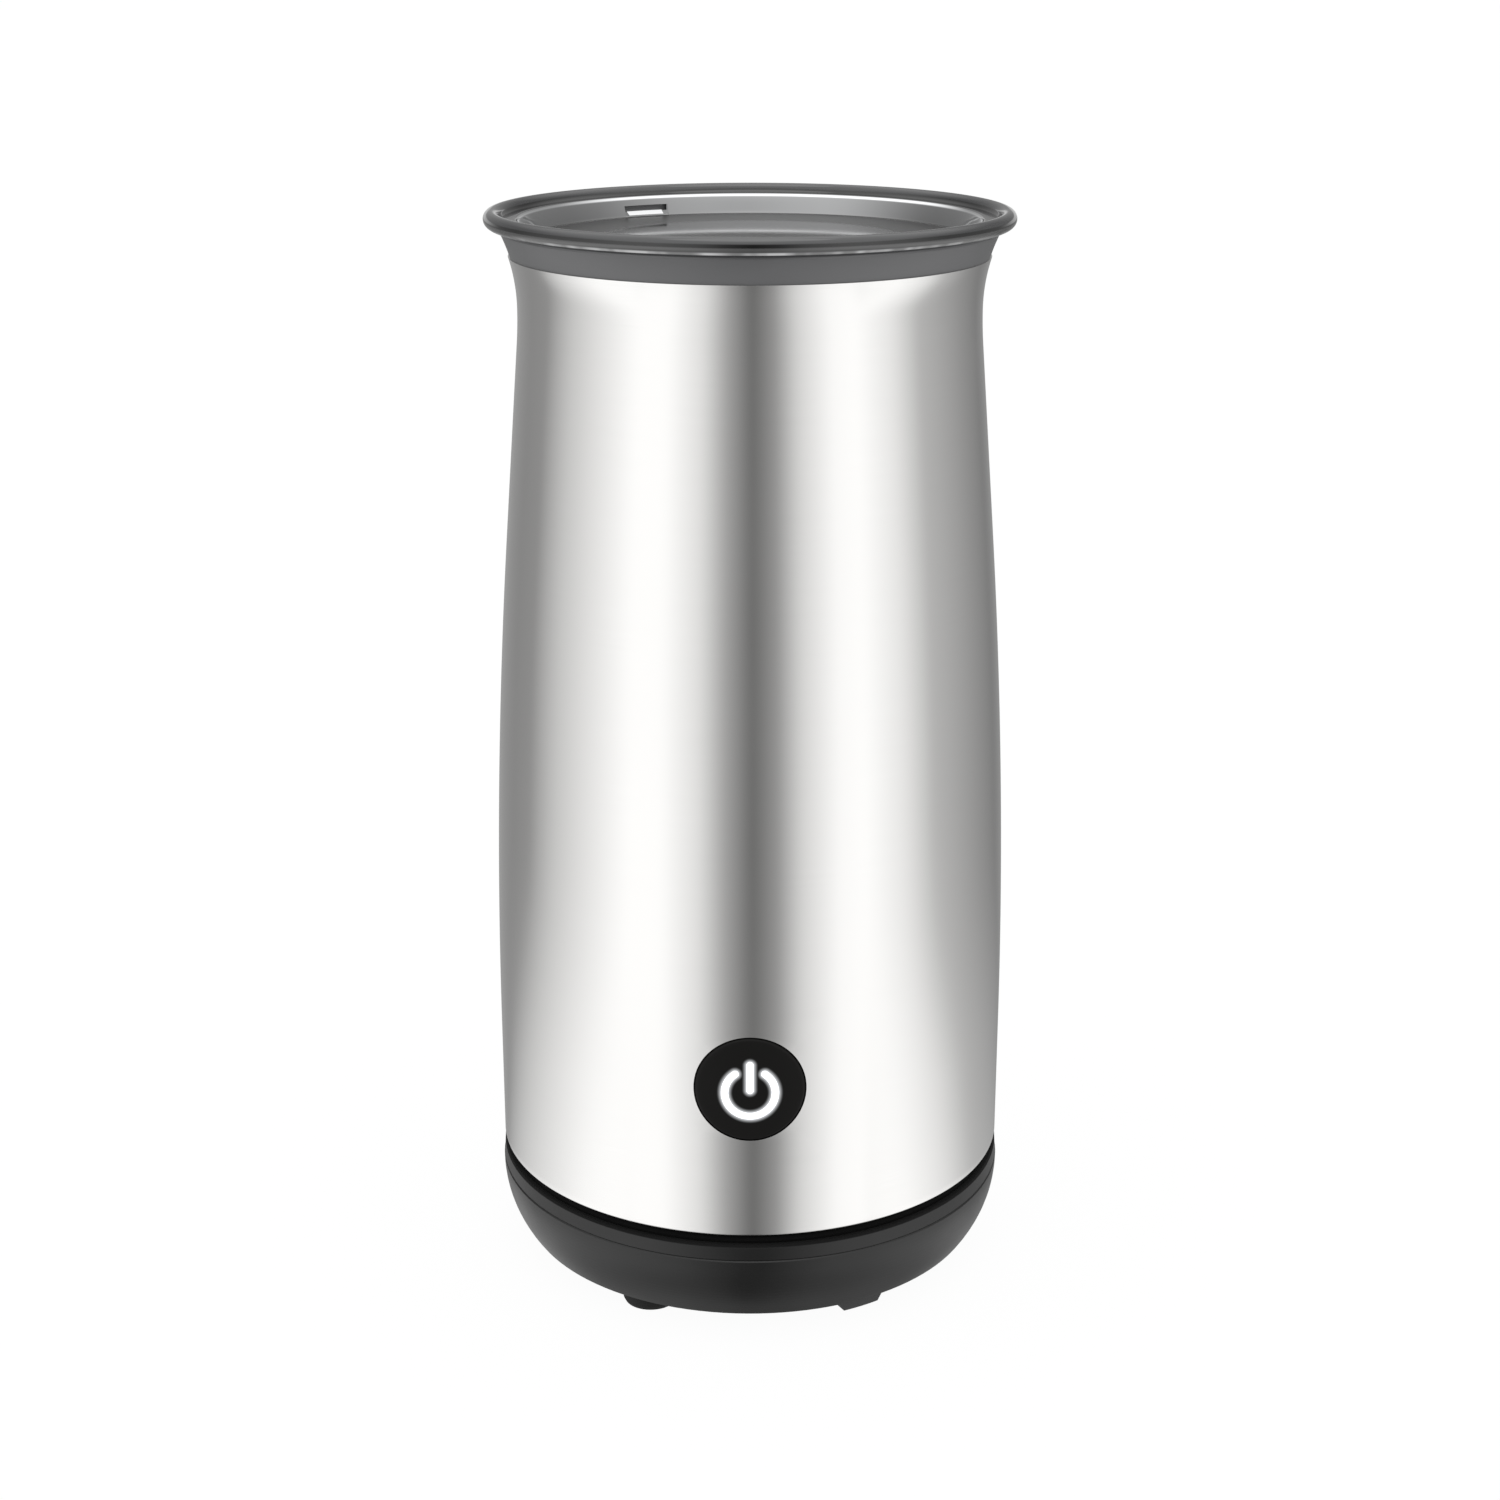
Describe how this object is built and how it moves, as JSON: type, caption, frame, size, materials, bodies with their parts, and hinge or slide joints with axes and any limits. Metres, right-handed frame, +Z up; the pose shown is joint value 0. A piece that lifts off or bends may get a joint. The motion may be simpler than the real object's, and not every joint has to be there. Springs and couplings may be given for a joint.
{
  "type": "milk frother",
  "caption": "Cordless milk frother: a waisted steel jug with a coated pot, a magnet-driven spring whisk, a front push button and a recessed lid, on a low round power base.",
  "frame": {"origin": "on the table, under the axis of the round body", "axes": "+Z up, the button looks along -Y, the cord inlet along +Y"},
  "size_m": [0.093, 0.093, 0.1904],
  "materials": {
    "black_plastic": "satin black moulding",
    "underside_plastic": "fine spark-eroded black moulding",
    "foot_rubber": "matte rubber",
    "seal_rubber": "matte black rubber",
    "connector_plastic": "matte heat-proof moulding",
    "contact_brass": "bright brass strip",
    "zinc_steel": "zinc plated",
    "brushed_steel": "fine brushed stainless steel with a satin sheen",
    "collar_plastic": "satin mid-grey plastic",
    "lid_plastic": "polished smoke-grey plastic",
    "silicone": "translucent grey silicone",
    "pot_coating": "dark grey non-stick coating on aluminium",
    "bright_steel": "ground stainless steel",
    "chassis_plastic": "glass-filled nylon",
    "motor_steel": "drawn steel",
    "pale_plastic": "natural acetal",
    "ferrite": "sintered ferrite",
    "aluminium": "cast aluminium",
    "heater_tube": "heat-tinted tube",
    "circuit_board": "green lacquer",
    "component_plastic": "moulded component housings",
    "light_white": "lit translucent white",
    "button_plastic": "near-black satin plastic",
    "copper_winding": "enamelled copper on sheet steel",
    "magnet_nickel": "nickel plated",
    "whisk_plastic": "matte black food-safe plastic",
    "spring_steel": "bright stainless wire"
  },
  "bodies": {
    "base": {"base_shell": "black_plastic", "base_plate": "underside_plastic", "base_feet": "foot_rubber", "base_coupler": "connector_plastic", "base_contacts": "contact_brass", "base_screws": "zinc_steel", "cord_gland": "foot_rubber"},
    "coupler": {"jug_coupler": "connector_plastic", "coupler_rings": "contact_brass"},
    "jug": {"bottom_cover": "black_plastic", "sleeve_seal": "seal_rubber", "outer_sleeve": "brushed_steel", "rim_collar": "collar_plastic", "pot_gasket": "silicone", "inner_pot": "pot_coating", "whisk_spindle": "bright_steel", "chassis": "chassis_plastic", "jug_screws": "zinc_steel", "motor_can": "motor_steel", "motor_endcap": "pale_plastic", "motor_terminals": "contact_brass", "motor_magnets": "ferrite", "motor_screws": "zinc_steel", "heater_plate": "aluminium", "heating_element": "heater_tube", "thermal_cutout": "pale_plastic", "control_board": "circuit_board", "board_parts": "component_plastic", "button_guide": "chassis_plastic", "button_board": "circuit_board", "tact_switch": "component_plastic", "indicator_leds": "light_white"},
    "button": {"button_cap": "button_plastic", "power_symbol": "light_white", "switch_plunger": "pale_plastic"},
    "rotor": {"motor_shaft": "bright_steel", "rotor_core": "copper_winding", "drive_hub": "pale_plastic", "drive_magnets": "magnet_nickel"},
    "whisk_bush": {"whisk_bush": "pale_plastic"},
    "whisk": {"whisk_wheel": "whisk_plastic", "whisk_magnets": "magnet_nickel", "whisk_coil": "spring_steel"},
    "lid": {"lid": "lid_plastic", "lid_seal": "silicone"}
  },
  "joints": [
    {"name": "jug_lift", "type": "slide", "parent": "base", "child": "coupler", "axis": [0, 0, 1], "range_m": [0, 0.05]},
    {"name": "jug_swivel", "type": "hinge", "parent": "coupler", "child": "jug", "pos_m": [0, 0, 0.0182], "axis": [0, 0, 1], "continuous": true},
    {"name": "button_press", "type": "slide", "parent": "jug", "child": "button", "axis": [0, 1, 0], "range_m": [0, 0.0008], "stiffness_N_per_m": 1500},
    {"name": "rotor_spin", "type": "hinge", "parent": "jug", "child": "rotor", "pos_m": [0, 0, 0.05], "axis": [0, 0, 1], "continuous": true},
    {"name": "whisk_lift", "type": "slide", "parent": "jug", "child": "whisk_bush", "axis": [0, 0, 1], "range_m": [0, 0.08]},
    {"name": "whisk_spin", "type": "hinge", "parent": "whisk_bush", "child": "whisk", "pos_m": [0, 0, 0.0849], "axis": [0, 0, 1], "continuous": true},
    {"name": "lid_lift", "type": "slide", "parent": "jug", "child": "lid", "axis": [0, 0, 1], "range_m": [0, 0.05]}
  ],
  "couplings": [
    {"joint": "whisk_spin", "follows": "rotor_spin", "ratio": 1}
  ]
}
